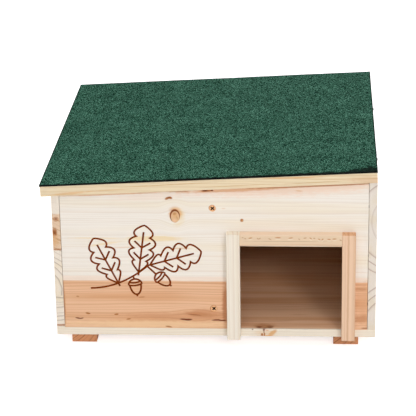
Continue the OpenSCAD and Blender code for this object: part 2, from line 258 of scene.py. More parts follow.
# Darkness across one year, from spring to the sharp end of autumn
YEAR_LINE = ((0.0, 0.0), (0.5, 0.12), (0.86, 1.0), (1.0, 0.1))


def pine(name, grain, pith, tones, ring=5.0, contrast=0.5, swing=14.0, reach=(260.0, 45.0),
         end_tint=(0.92, 0.91, 0.9), end_line=None, end_power=3.0, lower=None, marks=(), bends=()):
    """Planed, untreated pine: matt, with year lines that are rings on the cut ends and lines along the board.

    grain is the axis that the fibres follow. pith is where the rings' middle lies in the two other axes, in
    millimetres. tones are the earlywood, latewood and streak colours. ring is the year's width, swing how far
    the lines wander, and reach over what length along and across the grain. end_tint, end_line and end_power
    are the cut ends' tint, the colour of their rings and how thin those are. lower is what differs below a
    seam: the seam's axis, place, softness and raggedness, then the tones, pith and contrast there. Each mark
    is a colour, its strength, the share of it that is solid, its place, its half sizes and its tilt in
    degrees. Each bend is a place, half sizes and how far the year lines are pushed aside there.
    """
    material, tree, shader, place = new_material(name)
    plain = add(tree, "ShaderNodeVectorMath", {0: place["Object"], "Scale": 1 / MM},
                operation="SCALE").outputs[0]
    bent = plain
    for spot, size, push in bends:
        way = add(tree, "ShaderNodeMapping",
                  {"Vector": plain, "Location": spot, "Scale": [side or ENDLESS for side in size]},
                  vector_type="TEXTURE").outputs[0]
        away = add(tree, "ShaderNodeVectorMath", {0: way}, operation="LENGTH").outputs["Value"]
        near = add(tree, "ShaderNodeMapRange",
                   {"Value": away, "From Max": BEND_REACH, "To Min": -push, "To Max": 0.0},
                   interpolation_type="SMOOTHERSTEP").outputs[0]
        shift = add(tree, "ShaderNodeVectorMath", {0: way, "Scale": near}, operation="SCALE").outputs[0]
        bent = add(tree, "ShaderNodeVectorMath", {0: bent, 1: shift}, operation="ADD").outputs[0]
    axes = add(tree, "ShaderNodeSeparateXYZ", {0: bent}).outputs
    along_grain = {i: axes[axis] for i, axis in enumerate(GRAIN_ORDER[grain])}
    mm = add(tree, "ShaderNodeCombineXYZ", along_grain).outputs[0]

    early, late, streak = (opaque(tone) for tone in tones)
    middle, strength = (0.0, *pith), contrast
    if lower:
        axis, seam, soft, ragged, low_tones, low_pith, low_contrast = lower
        torn = grain_clouds(tree, mm, 60, 12, 3.0)["Fac"]
        edge = add(tree, "ShaderNodeMath", {0: torn, 1: ragged, 2: axes[axis]},
                   operation="MULTIPLY_ADD").outputs[0]
        seam += ragged / 2
        upper = add(tree, "ShaderNodeMapRange",
                    {"Value": edge, "From Min": seam - soft, "From Max": seam + soft},
                    interpolation_type="SMOOTHSTEP").outputs[0]
        middle = add(tree, "ShaderNodeMix", {0: upper, 4: (0.0, *low_pith), 5: middle},
                     data_type="VECTOR").outputs[1]
        strength = add(tree, "ShaderNodeMix", {0: upper, 2: low_contrast, 3: contrast}).outputs[0]
        early, late, streak = (
            add(tree, "ShaderNodeMix", {0: upper, 6: opaque(low), 7: high}, data_type="RGBA").outputs[2]
            for low, high in zip(low_tones, (early, late, streak)))

    # Year lines: distance from the pith, wandering along the board, each year of its own width and strength
    wander = grain_clouds(tree, mm, *reach, 2.0)["Color"]
    swung = add(tree, "ShaderNodeVectorMath", {0: wander, 1: (0.0, swing, swing), 2: mm},
                operation="MULTIPLY_ADD").outputs[0]
    offset = add(tree, "ShaderNodeVectorMath", {0: swung, 1: middle}, operation="SUBTRACT").outputs[0]
    flat = add(tree, "ShaderNodeVectorMath", {0: offset, 1: (LOG_TAPER, 1.0, 1.0)},
               operation="MULTIPLY").outputs[0]
    radius = add(tree, "ShaderNodeVectorMath", {0: flat}, operation="LENGTH").outputs["Value"]
    years = add(tree, "ShaderNodeTexNoise", {"W": radius, "Scale": 1 / (4 * ring), "Detail": 1.0},
                noise_dimensions="1D").outputs[0]
    uneven = add(tree, "ShaderNodeMath", {0: years, 1: 3 * ring, 2: radius},
                 operation="MULTIPLY_ADD").outputs[0]
    count = add(tree, "ShaderNodeMath", {0: uneven, 1: ring}, operation="DIVIDE").outputs[0]
    phase = add(tree, "ShaderNodeMath", {0: count}, operation="FRACT").outputs[0]
    line = add(tree, "ShaderNodeValToRGB", {"Fac": phase},
               [(at, (dark, dark, dark, 1.0)) for at, dark in YEAR_LINE]).outputs[0]
    year = add(tree, "ShaderNodeMath", {0: count}, operation="FLOOR").outputs[0]
    luck = add(tree, "ShaderNodeTexWhiteNoise", {"W": year}, noise_dimensions="1D").outputs["Value"]
    vigour = add(tree, "ShaderNodeMapRange", {"Value": luck, "To Min": 0.3, "To Max": 1.0}).outputs[0]

    # Fibres, drawn about 1 mm wide so that they show, and slow bands of tone
    fibre = grain_clouds(tree, mm, 90, 1.3, 3.0)["Fac"]
    band = add(tree, "ShaderNodeMapRange",
               {"Value": grain_clouds(tree, mm, 320, 22, 2.0)["Fac"], "From Min": 0.42, "From Max": 0.68},
               interpolation_type="SMOOTHSTEP").outputs[0]

    # Cut ends drink light, and show thin dark rings
    facing = add(tree, "ShaderNodeSeparateXYZ", {0: place["Normal"]}).outputs[grain]
    square_on = add(tree, "ShaderNodeMath", {0: facing}, operation="ABSOLUTE").outputs[0]
    end = add(tree, "ShaderNodeMath", {0: square_on, 1: 0.8}, operation="GREATER_THAN").outputs[0]
    thin = add(tree, "ShaderNodeMath", {0: line, 1: end_power}, operation="POWER").outputs[0]
    drawn = add(tree, "ShaderNodeMix", {0: end, 2: line, 3: thin}).outputs[0]
    weight = add(tree, "ShaderNodeMix", {0: end, 2: strength, 3: END_WEIGHT}).outputs[0]
    ringed = add(tree, "ShaderNodeMath", {0: drawn, 1: weight}, operation="MULTIPLY").outputs[0]
    line_share = add(tree, "ShaderNodeMath", {0: ringed, 1: vigour}, operation="MULTIPLY").outputs[0]
    if end_line:
        late = add(tree, "ShaderNodeMix", {0: end, 6: late, 7: opaque(end_line)}, data_type="RGBA").outputs[2]

    ground = add(tree, "ShaderNodeMix", {0: band, 6: early, 7: streak}, data_type="RGBA").outputs[2]
    grown = add(tree, "ShaderNodeMix", {0: line_share, 6: ground, 7: late}, data_type="RGBA").outputs[2]
    if marks:
        torn = grain_clouds(tree, mm, 9, 2.5, 2.0)["Fac"]
        rag = add(tree, "ShaderNodeMapRange", {"Value": torn, "To Min": -0.5, "To Max": 0.5}).outputs[0]
    for rgb, share, solid, spot, size, tilt in marks:
        way = add(tree, "ShaderNodeMapping",
                  {"Vector": plain, "Location": spot, "Rotation": (0.0, -math.radians(tilt), 0.0),
                   "Scale": [side or ENDLESS for side in size]}, vector_type="TEXTURE").outputs[0]
        away = add(tree, "ShaderNodeVectorMath", {0: way}, operation="LENGTH").outputs["Value"]
        edge = add(tree, "ShaderNodeMath", {0: rag, 1: 1 - solid, 2: away},
                   operation="MULTIPLY_ADD").outputs[0]
        cover = add(tree, "ShaderNodeMapRange",
                    {"Value": edge, "From Min": solid, "From Max": 1.0, "To Min": share, "To Max": 0.0},
                    interpolation_type="SMOOTHSTEP").outputs[0]
        grown = add(tree, "ShaderNodeMix", {0: cover, 6: grown, 7: opaque(rgb)}, data_type="RGBA").outputs[2]

    tint = add(tree, "ShaderNodeMix", {0: end, 4: (1.0, 1.0, 1.0), 5: end_tint},
               data_type="VECTOR").outputs[1]
    tinted = add(tree, "ShaderNodeVectorMath", {0: grown, 1: tint}, operation="MULTIPLY").outputs[0]
    tone = add(tree, "ShaderNodeMapRange", {"Value": fibre, "From Min": 0.25, "From Max": 0.75,
                                            "To Min": 0.95, "To Max": 1.03}).outputs[0]
    timber = add(tree, "ShaderNodeVectorMath", {0: tinted, "Scale": tone}, operation="SCALE").outputs[0]
    rough = add(tree, "ShaderNodeMapRange", {"Value": line, "To Min": 0.7, "To Max": 0.58}).outputs[0]
    relief = add(tree, "ShaderNodeMath", {0: line, 1: 0.5, 2: fibre}, operation="MULTIPLY_ADD").outputs[0]
    bump = add(tree, "ShaderNodeBump", {"Strength": 0.25, "Distance": 0.2 * MM, "Height": relief})
    feed(tree, shader, {"Base Color": timber, "Roughness": rough, "Specular IOR Level": 0.2,
                        "Normal": bump.outputs["Normal"]})
    return material


def on_front(*rows):
    """Marks that go straight through from the front, each a row without its place and half size along Y."""
    return tuple((rgb, share, solid, (x, 0, z), (wide, 0, high), tilt)
                 for rgb, share, solid, x, z, wide, high, tilt in rows)


def knots(colours, marks, *spots):
    """Marks, then those of round knots, each given by its place and half sizes; and the knots' bends."""
    rings = ((colours.amber, 0.7, 0.3, 1.7), (colours.knot_rim, 0.95, 0.8, 1.0),
             (colours.knot_core, 0.9, 0.75, 0.78), (colours.knot_brown, 0.6, 0.2, 0.45))
    rounds = tuple((rgb, share, solid, place, [scale * side for side in size], 0)
                   for place, size in spots for rgb, share, solid, scale in rings)
    return {"marks": marks + rounds, "bends": tuple((place, size, 7.0) for place, size in spots)}


def scorched_pine(colours, face, depth):
    """Groove of a burnt-in line: charred pine, dull and uneven in tone, paler brown towards its arrises.

    face is where the board's face lies along Y, and depth how deep the groove is.
    """
    material, tree, shader, place = new_material("scorched_pine")
    char, _ = mottled(tree, place["Object"], colours.burn, 6 * MM, 3.0, 0.75, 1.2)
    inwards = add(tree, "ShaderNodeSeparateXYZ", {0: place["Object"]}).outputs["Y"]
    sunk = add(tree, "ShaderNodeMapRange",
               {"Value": inwards, "From Min": face, "From Max": face + 0.7 * depth},
               interpolation_type="SMOOTHSTEP").outputs[0]
    singed = add(tree, "ShaderNodeMix", {0: sunk, 6: opaque(colours.singe), 7: char}, data_type="RGBA")
    feed(tree, shader, {"Base Color": singed.outputs[2], "Roughness": 0.85, "Specular IOR Level": 0.03})
    return material


# A little coarser than crushed slate is, so that the grains show
GRAIN_WIDTH = 1.0 * MM


def mineral_grit(colours, lowest, highest):
    """Crushed slate on bitumen felt: matt grains about 1 mm wide in several greens, rubbed off at the edges.

    lowest and highest are the felt's corners.
    """
    material, tree, shader, coordinates = new_material("mineral_grit")
    place = coordinates["Object"]
    grain = add(tree, "ShaderNodeTexVoronoi", {"Vector": place, "Scale": 1 / GRAIN_WIDTH}).outputs["Color"]
    tint = add(tree, "ShaderNodeSeparateColor", {0: grain}).outputs[0]
    clouded = tint
    for size, detail, share in ((3.5 * MM, 2.0, 0.12), (40 * MM, 3.0, 0.22)):
        cloud = add(tree, "ShaderNodeTexNoise", {"Vector": place, "Scale": 1 / size, "Detail": detail})
        clouded = add(tree, "ShaderNodeMath", {0: cloud.outputs["Fac"], 1: share, 2: clouded},
                      operation="MULTIPLY_ADD").outputs[0]
    level = add(tree, "ShaderNodeMath", {0: clouded, 1: 0.7}, operation="MULTIPLY").outputs[0]
    shades = zip((0.27, 0.52, 0.79), (colours.grit_dark, colours.grit_mid, colours.grit_light))
    stops = [(at, opaque(rgb)) for at, rgb in shades]
    toned = add(tree, "ShaderNodeValToRGB", {"Fac": level}, stops).outputs["Color"]

    # Bare bitumen: a thin rubbed margin, wider along the front and widest at the front right corner
    centre, half = (lowest + highest) / 2, (highest - lowest) / 2
    middle = add(tree, "ShaderNodeVectorMath", {0: place, 1: centre}, operation="SUBTRACT").outputs[0]
    sides = add(tree, "ShaderNodeSeparateXYZ", {0: middle}).outputs
    folded = add(tree, "ShaderNodeVectorMath", {0: middle}, operation="ABSOLUTE").outputs[0]
    margins = add(tree, "ShaderNodeVectorMath", {0: half, 1: folded}, operation="SUBTRACT").outputs[0]
    inset = add(tree, "ShaderNodeSeparateXYZ", {0: margins}).outputs
    nearest = add(tree, "ShaderNodeMath", {0: inset["X"], 1: inset["Y"]}, operation="MINIMUM").outputs[0]
    from_front = add(tree, "ShaderNodeMath", {0: sides["Y"], 1: half.y}, operation="ADD").outputs[0]
    patch = add(tree, "ShaderNodeTexNoise", {"Vector": place, "Scale": 1 / (7 * MM), "Detail": 3.0})
    torn = add(tree, "ShaderNodeMapRange", {"Value": patch.outputs["Fac"], "From Min": 0.3, "From Max": 0.7,
                                            "To Min": -0.3, "To Max": 0.8}).outputs[0]
    rub = add(tree, "ShaderNodeMath", {0: tint, 1: 0.9, 2: torn}, operation="MULTIPLY_ADD").outputs[0]
    margin = add(tree, "ShaderNodeMapRange", {"Value": sides["X"], "From Min": -half.x, "From Max": half.x,
                                              "To Min": 1.5 * MM, "To Max": 7.0 * MM}).outputs[0]
    corner = add(tree, "ShaderNodeMapRange",
                 {"Value": sides["X"], "From Min": half.x - 60 * MM, "From Max": half.x - 5 * MM,
                  "To Min": margin, "To Max": 22 * MM}, interpolation_type="SMOOTHSTEP").outputs[0]
    worn = []
    for distance, width in ((nearest, 1.6 * MM), (from_front, corner)):
        limit = add(tree, "ShaderNodeMath", {0: rub, 1: width}, operation="MULTIPLY").outputs[0]
        past = add(tree, "ShaderNodeMath", {0: distance, 1: limit}, operation="SUBTRACT").outputs[0]
        share = add(tree, "ShaderNodeMapRange", {"Value": past, "From Min": -0.5 * MM, "From Max": 0.7 * MM,
                                                 "To Min": 0.9, "To Max": 0.0})
        worn.append(share.outputs[0])
    bare = add(tree, "ShaderNodeMath", dict(enumerate(worn)), operation="MAXIMUM").outputs[0]
    surface = add(tree, "ShaderNodeMix", {0: bare, 6: toned, 7: opaque(colours.bitumen)}, data_type="RGBA")
    bump = add(tree, "ShaderNodeBump", {"Strength": 0.6, "Distance": 0.5 * MM, "Height": level})
    feed(tree, shader, {"Base Color": surface.outputs[2], "Roughness": 0.9, "Specular IOR Level": 0.02,
                        "Normal": bump.outputs["Normal"]})
    return material


def cut_bitumen(colours):
    """Cut edge of bitumen felt: near black, with a dull waxy gloss."""
    material, tree, shader, place = new_material("cut_bitumen")
    black, _ = mottled(tree, place["Object"], colours.bitumen, 2 * MM, 2.0, 0.7, 1.6)
    feed(tree, shader, {"Base Color": black, "Roughness": 0.7, "Specular IOR Level": 0.05})
    return material


def plated_steel(name, rgb, roughness):
    """Zinc-plated steel: bright metal with a faint cloudy bloom, and painted shade in its recesses."""
    material, tree, shader, place = new_material(name)
    plating, bloom = mottled(tree, place["Object"], rgb, 3 * MM, 3.0, 0.85, 1.05)
    # Painted shade: ambient occlusion darkens the plating in recesses, such as the screws' cross slots
    open_sky = add(tree, "ShaderNodeAmbientOcclusion", {"Distance": 2.5 * MM}, samples=8).outputs["AO"]
    recess_shade = add(tree, "ShaderNodeMapRange",
                {"Value": open_sky, "From Min": 0.86, "From Max": 0.98}).outputs[0]
    worn = add(tree, "ShaderNodeVectorMath", {0: plating, "Scale": recess_shade}, operation="SCALE").outputs[0]
    rough = add(tree, "ShaderNodeMapRange",
                {"Value": bloom, "To Min": roughness - 0.08, "To Max": roughness + 0.1}).outputs[0]
    feed(tree, shader, {"Base Color": worn, "Roughness": rough, "Metallic": 1.0})
    return material


def select_only(context, target):
    """Make one object the only selected and the active one."""
    bpy.ops.object.select_all(action="DESELECT")
    target.select_set(True)
    context.view_layer.objects.active = target


def beside(point, lowest, highest, reach=1.0 * MM):
    """Whether a point lies in a box or no further from it than the reach."""
    return all(low - reach <= p <= high + reach for p, low, high in zip(point, lowest, highest))


WELD = 0.005 * MM
FLAT_ANGLE = math.radians(0.5)
SHARP_ANGLE = math.radians(60)
SHORTEST_EASED = 8 * MM


def eased_board(context, node, ease):
    """Copy of a board with its long arrises sanded back, standing for that board."""
    select_only(context, frame["nodes"][node])
    bpy.ops.object.duplicate()
    board = context.view_layer.objects.active
    board.name = f"{node}_timber"
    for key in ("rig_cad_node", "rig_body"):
        del board[key]
    bpy.ops.object.mode_set(mode="EDIT")
    bpy.ops.mesh.customdata_custom_splitnormals_clear()
    bpy.ops.mesh.select_all(action="SELECT")
    bpy.ops.mesh.remove_doubles(threshold=WELD)
    bpy.ops.mesh.dissolve_limited(angle_limit=FLAT_ANGLE)
    bpy.ops.mesh.select_all(action="DESELECT")
    bpy.ops.mesh.select_mode(type="EDGE")
    shape = bmesh.from_edit_mesh(board.data)
    leaves = [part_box(name) for name in frame["nodes"] if name.endswith("_leaf")]
    for edge in shape.edges:
        recessed = any(all(beside(v.co, *leaf) for v in edge.verts) for leaf in leaves)
        sharp = edge.calc_length() > SHORTEST_EASED and edge.calc_face_angle(0.0) > SHARP_ANGLE
        edge.select = sharp and not recessed
    shape.select_flush_mode()
    bmesh.update_edit_mesh(board.data)
    steps = context.scene.house_sizes.ease_steps
    bpy.ops.mesh.bevel(offset=ease, segments=steps, affect="EDGES", clamp_overlap=False, loop_slide=False)
    bpy.ops.object.mode_set(mode="OBJECT")
    bpy.ops.object.shade_flat()
    board.data.materials.clear()
    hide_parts(node)
    return board


def slot_of(node):
    """The record's material slot of a node."""
    return next(p["material_slot"] for p in frame["record"]["subparts"] if p["node"] == node)


def dress(board, material, body):
    """Give the piece that stands for a node its material and its body."""
    board.data.materials.append(material)
    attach(board, body)


def dress_boards(context, looks, ease, body="house"):
    """Ease boards and dress each in its material."""
    for node, material in looks.items():
        dress(eased_board(context, node, ease), material, body)


def plate(slot, material):
    """Give the CAD nodes of a record slot their metal."""
    for node, piece in frame["nodes"].items():
        if slot_of(node) == slot:
            piece.data.materials.clear()
            piece.data.materials.append(material)


class HOUSE_OT_boards(Operator):
    """Ease and finish the base board, the sides, the rear panel and the partition"""

    bl_idname = "house.boards"
    bl_label = "Boards"

    def execute(self, context):
        c = context.scene.house_colours
        ease = context.scene.house_sizes.board_ease
        cream = (c.cream_early, c.cream_late, c.cream_streak)
        heart = (c.heart_early, c.heart_late, c.heart_streak)
        edge = (c.cream_streak, c.cream_late, c.cream_streak)
        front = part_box("left_side_panel")[0].y / MM
        rear = sum(corner.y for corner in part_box("rear_panel")) / 2 / MM
        base_marks = (
            (c.knot_brown, 0.7, 0.2, (80, front + 10, 33), (25, 15, 4), 0),
            (c.fleck, 0.9, 0.3, (73, front + 6.5, 33), (7.5, 6, 3), 0),
            (c.fleck, 0.8, 0.2, (89, front + 7.5, 33), (7.5, 7, 3), 0),
            (c.fleck, 0.85, 0.3, (80, front + 3.5, 33), (7, 3.2, 3), 0),
            (c.amber, 0.35, 0.2, (82, front, 25), (22, 20, 10), 0),
            (c.amber, 0.9, 0.4, (92, front, 25), (11, 20, 4.4), 38),
            (c.amber, 1.0, 0.4, (87, front, 20.5), (9.5, 20, 2.0), 0),
            (c.heart_streak, 0.8, 0.3, (84.5, front, 30), (4, 8, 1.6), 0),
            (c.knot_brown, 0.95, 0.4, (76.8, front, 23), (2.8, 14, 3.0), 0),
            (c.knot_brown, 0.95, 0.4, (80.4, front, 23.4), (1.7, 14, 3.6), 0),
            (c.knot_rim, 0.8, 0.3, (79.6, front, 27.5), (1.2, 14, 3.4), 0),
            (c.fleck, 0.95, 0.4, (79.6, front, 30.6), (2.4, 3, 1.9), 0),
            (c.fleck, 0.75, 0.3, (62.5, front, 31), (1.7, 3, 1.5), 0),
        )
        left_marks = (
            (c.cream_early, 0.9, 0.9, (-228, front, 236), (0, 60, 19), 0),
            (c.amber, 0.5, 0.9, (-228, front, 187), (0, 0, 30), 0),
            (c.amber, 0.6, 0.3, (-232, front, 175), (10, 30, 17), 0),
            (c.knot_brown, 0.75, 0.3, (-227, front, 159), (16, 30, 2.2), 0),
            (c.knot_brown, 0.45, 0.3, (-225, front, 174), (7, 30, 1.5), -30),
            (c.knot_brown, 0.55, 0.6, (-228, front, 207.5), (5.5, 30, 5), 0),
            (c.fleck, 0.6, 0.2, (-228, front, 208), (2.5, 30, 2.2), 0),
            (c.knot_brown, 0.9, 0.3, (-231, front, 187), (5.5, 30, 9), 0),
            (c.fleck, 0.6, 0.2, (-231, front, 186), (3, 30, 4.5), 0),
            (c.knot_brown, 0.75, 0.3, (-228, front, 35.5), (14, 30, 2.4), 0),
        )
        floor = knots(c, base_marks, ((-110, 60, 0), (9, 7, 0)), ((150, 110, 0), (6, 5, 0)),
                      ((-30, -150, 0), (5, 4, 0)))
        left = knots(c, left_marks, ((0, 70, 118), (0, 8, 6)), ((0, -120, 102), (0, 4, 3.5)),
                     ((0, 190, 226), (0, 5, 4)))
        right = knots(c, (), ((0, -60, 186), (0, 9, 7)), ((0, 150, 78), (0, 6, 5)),
                      ((0, 40, 66), (0, 3.5, 3)))
        back = knots(c, (), ((-120, 0, 176), (9, 0, 7)), ((62, 0, 104), (6, 0, 5)),
                     ((168, 0, 208), (4, 0, 3.5)))
        inner = knots(c, (), ((0, -40, 170), (0, 7, 5.5)), ((0, -160, 92), (0, 4, 3.5)))
        looks = {
            "base_board": pine(
                "base_pine", "X", (-190, -60), heart, ring=4.0, contrast=0.7,
                lower=("Y", front + 3, 1.0, 2.0, edge, (-190, -60), 0.7), **floor),
            "left_side_panel": pine(
                "left_side_pine", "Y", (-268, 95), cream, ring=7.0, contrast=0.65,
                end_tint=(0.95, 0.91, 0.86), end_line=c.end_line,
                lower=("Z", 84, 0.3, 0.0, cream, (-215, -240), 0.5), **left),
            "right_side_panel": pine(
                "right_side_pine", "Y", (286.5, 207.5), cream, ring=15.5, contrast=0.65, swing=3.0,
                end_tint=(0.88, 0.86, 0.84), end_line=c.knot_rim, end_power=4.5,
                lower=("Z", 112, 0.3, 0.0, cream, (294, 26), 0.5), **right),
            "rear_panel": pine(
                "rear_pine", "X", (290, 40), cream, ring=5.0, contrast=0.65,
                lower=("Y", rear, 1.0, 2.0, heart, (290, 40), 0.65), **back),
            "inner_partition": pine("partition_pine", "Y", (60, 60), heart, ring=6.0, **inner),
        }
        dress_boards(context, looks, ease)
        return {"FINISHED"}


def front_marks(c):
    """Bands, knots, bruises and flecks that the front panel has besides its grain."""
    return on_front(
        # Slow colours: pink under the roof, yellow resin streaks, a pale band along the bottom
        (c.blush, 1.0, 0.4, 115, 263, 215, 23, 2.8),
        (c.blush, 0.4, 0.3, -90, 243, 80, 8, 2.8),
        (c.resin, 0.9, 0.5, -82, 177.5, 52, 5.2, 0),
        (c.resin, 0.6, 0.3, -170, 177.5, 56, 1.8, 0),
        (c.resin, 0.7, 0.3, -160, 168, 36, 2.6, 9.5),
        (c.amber, 0.5, 0.3, -48, 162, 28, 2.0, 0),
        (c.amber, 0.35, 0.3, -128, 163, 30, 1.6, 3),
        (c.heart_pale, 0.75, 0.3, -90, 39, 190, 8, 0),
        (c.blush, 0.55, 0.6, 0, 113.5, 0, 4.2, 0),
        # Line under the roof, partly a year line and partly painted shadow where the roof board meets the
        # panel, and knots
        (c.heart_streak, 0.75, 0.4, -140, 247.4, 105, 1.7, 2.8),
        (c.heart_streak, 0.8, 0.4, 35, 254.6, 100, 3.8, 2.8),
        (c.knot_brown, 0.75, 0.6, 160, 262.4, 125, 2.3, 2.8),
        (c.knot_brown, 0.55, 0.4, -46, 252, 27, 1.4, 1.5),
        (c.amber, 0.6, 0.3, 132, 254, 8, 1.4, -3),
        (c.resin, 0.9, 0.2, -47, 214, 15, 19, 0),
        (c.amber, 0.9, 0.45, -50.6, 217.5, 12, 14.5, 0),
        (c.knot_rim, 1.0, 0.9, -51.0, 213.9, 7.9, 11.0, 0),
        (c.fleck, 0.5, 0.3, -52, 222, 6, 2.4, 8),
        (c.knot_core, 1.0, 0.9, -50.6, 212, 6.4, 9.6, 0),
        (c.amber, 0.7, 0.2, -50.4, 214.5, 5.2, 7.0, 0),
        (c.knot_brown, 0.5, 0.2, -51.4, 217.4, 4.2, 3.4, 20),
        (c.heart_early, 0.8, 0.3, -51.6, 206.5, 3.6, 3.6, 0),
        (c.knot_brown, 0.4, 0.3, -47.6, 210.5, 1.6, 4.5, 12),
        (c.knot_brown, 0.95, 0.4, -61.5, 241.4, 4.8, 2.6, 24),
        (c.knot_brown, 1.0, 0.4, -57.2, 242.2, 4.4, 2.5, -16),
        (c.fleck, 0.55, 0.2, -59.4, 242.3, 4.2, 2.0, 8),
        (c.knot_brown, 0.9, 0.5, -3, 253.7, 11.5, 2.5, 2.8),
        (c.fleck, 0.9, 0.4, -5.5, 254, 5.5, 1.7, 2.8),
        (c.fleck, 0.9, 0.4, 4.4, 254.3, 2.8, 2.0, 2.8),
        (c.knot_brown, 1.0, 0.5, 48, 207.5, 3.4, 3.2, 0),
        (c.amber, 0.7, 0.3, 48.6, 206.8, 2, 2, 0),
        (c.amber, 0.35, 0.2, 21, 226, 4, 1.5, 0),
        # Painted shade in the gap round the two screw heads: dark rings a little wider than the heads
        (c.knot_brown, 0.8, 0.93, 4.35, 226.4, 5.4, 5.4, 0),
        (c.knot_brown, 0.75, 0.9, 4.35, 65, 5.9, 5.9, 0),
        # Deeper colour beside the joints, and flecks in the heartwood
        (c.heart_late, 0.85, 0.4, 22.5, 70, 7.5, 44, 0),
        (c.heart_late, 0.8, 0.4, -221.5, 68, 2.8, 44, 0),
        (c.heart_streak, 0.6, 0.4, 232, 75, 16, 46, 0),
        (c.heart_late, 0.65, 0.3, 226, 50, 18, 9, 4),
        (c.heart_late, 0.6, 0.3, 222, 98, 18, 3, 2),
        (c.knot_rim, 0.7, 0.3, 232, 35, 9, 1.6, 0),
        (c.heart_late, 0.35, 0.3, -40, 52, 120, 9, 0),
        (c.heart_late, 0.5, 0.4, -6, 57, 30, 10, -3),
        (c.heart_late, 0.75, 0.2, -20, 55.5, 30, 5.5, -5),
        (c.knot_rim, 0.6, 0.4, -24, 54.4, 14, 1.2, -5),
        *((c.fleck, 0.95, 0.5, *fleck) for fleck in (
            (-41, 46.8, 8, 1.6, -3), (-34, 46.3, 7.5, 1.8, 3), (8, 46.2, 9, 1.6, 3), (17, 45.6, 9, 1.4, -2),
            (-201, 47.2, 5.5, 1.3, -10))),
        (c.fleck, 0.85, 0.5, -196, 47, 4, 1.1, 12),
        *((c.knot_brown, share, 0.5, x, z, half, 1.7, tilt) for x, z, half, tilt, share in (
            (-185.9, 55.3, 4.5, -12, 0.95), (-142.7, 54.2, 4.5, 8, 0.95), (-124.7, 46.5, 4.5, 10, 0.8),
            (-200.4, 82.9, 3, -8, 0.6), (-104, 82.6, 6, 8, 0.5), (-63.8, 34.5, 6.5, -8, 0.8))),
    )


class HOUSE_OT_front_panel(Operator):
    """Ease the front panel, engrave its oak sprig and finish it in two tones of pine"""

    bl_idname = "house.front_panel"
    bl_label = "Front panel"

    def execute(self, context):
        c = context.scene.house_colours
        sizes = context.scene.house_sizes
        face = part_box("front_panel")[0].y
        board = eased_board(context, "front_panel", sizes.board_ease)
        open_joints(context, board, sizes.joint_gap)
        bends = (((-51.5, 0, 214), (9, 0, 11), 8.0), ((-24, 0, 52), (16, 0, 7), 6.0))
        cream = (c.cream_early, c.cream_late, c.cream_streak)
        heart = (c.heart_early, c.heart_late, c.heart_streak)
        material = pine("front_pine", "X", (-120, 420), cream, ring=4.5, marks=front_marks(c), bends=bends,
                        lower=("Z", 109.5, 1.6, 3.0, heart, (-120, 420), 0.6))
        dress(board, material, "house")
        engrave(context, board, sprig_strokes(), Vector((sizes.sprig_x, face, sizes.sprig_z)))
        return {"FINISHED"}


def open_joints(context, board, gap):
    """Draw a board's ends in, so that thin dark joints show beside its neighbours, widest at the top left."""
    select_only(context, board)
    xs, zs = ([v.co[axis] for v in board.data.vertices] for axis in (0, 2))
    middle = (min(zs) + max(zs)) / 2
    for end, upper, share in ((min(xs), True, 1.0), (min(xs), False, 0.7), (max(xs), True, -0.7),
                              (max(xs), False, -0.95)):
        bpy.ops.object.mode_set(mode="EDIT")
        bpy.ops.mesh.select_mode(type="VERT")
        bpy.ops.mesh.select_all(action="DESELECT")
        shape = bmesh.from_edit_mesh(board.data)
        for vertex in shape.verts:
            vertex.select = abs(vertex.co.x - end) < 2 * MM and (vertex.co.z > middle) == upper
        shape.select_flush_mode()
        bmesh.update_edit_mesh(board.data)
        bpy.ops.transform.translate(value=(share * gap, 0, 0))
        bpy.ops.object.mode_set(mode="OBJECT")


def bow(start, bulge, stop, count=14):
    """Points on a curve from start to stop that is drawn towards bulge."""
    return [start * (1 - t) ** 2 + bulge * 2 * t * (1 - t) + stop * t ** 2
            for t in (i / (count - 1) for i in range(count))]


def turned(points, lean, place):
    """Points turned about the origin and moved to a place."""
    turn = Matrix.Rotation(lean, 2)
    return [turn @ p + place for p in points]


def oak_leaf(reach, half_width, lobes=4, count=80):
    """Strokes of a lobed leaf that grows along +X: outline, midrib and side veins, in millimetres."""
    def edge(t, side):
        lobe = abs(math.sin(math.pi * lobes * t)) ** 0.6
        swell = math.sin(math.pi * t ** 1.15) ** 0.55
        width = half_width * swell * (0.52 + 0.48 * lobe)
        return Vector((reach * (t + 0.035 * lobe * (1 - t)), side * width))
    along = [i / count for i in range(count + 1)]
    outline = [edge(t, 1) for t in along] + [edge(t, -1) for t in reversed(along[1:-1])]
    strokes = [(outline, True), ([Vector((-5, 0)), Vector((reach * 0.86, 0))], False)]
    for i in range(1, lobes - 1):
        for side in (1, -1):
            tip = edge((i + 0.55) / lobes, side)
            root = Vector((tip.x - reach * 0.12, side * 0.5))
            strokes.append(([root, Vector((tip.x, tip.y * 0.62))], False))
    return strokes


def acorn(reach, half_width):
    """Strokes of an acorn that hangs along +X from its stem: cup, cup lines, nut and tip, in millimetres."""
    rim = reach * 0.36
    nut = [Vector((rim + (reach - rim) * math.sin(a), half_width * 0.84 * math.cos(a)))
           for a in (math.pi * i / 20 for i in range(21))]
    cup = [Vector((rim - rim * math.sin(a), half_width * math.cos(a)))
           for a in (math.pi * i / 16 for i in range(17))]
    lip = bow(Vector((rim, half_width)), Vector((rim + 3.0, 0)), Vector((rim, -half_width)))
    band = bow(Vector((rim * 0.5, half_width * 0.8)), Vector((rim * 0.5 + 3.0, 0)),
               Vector((rim * 0.5, -half_width * 0.8)))
    tip = [Vector((reach, 0)), Vector((reach + 3.5, 0))]
    return [(nut, False), (cup, False), (lip, False), (band, False), (tip, False)]


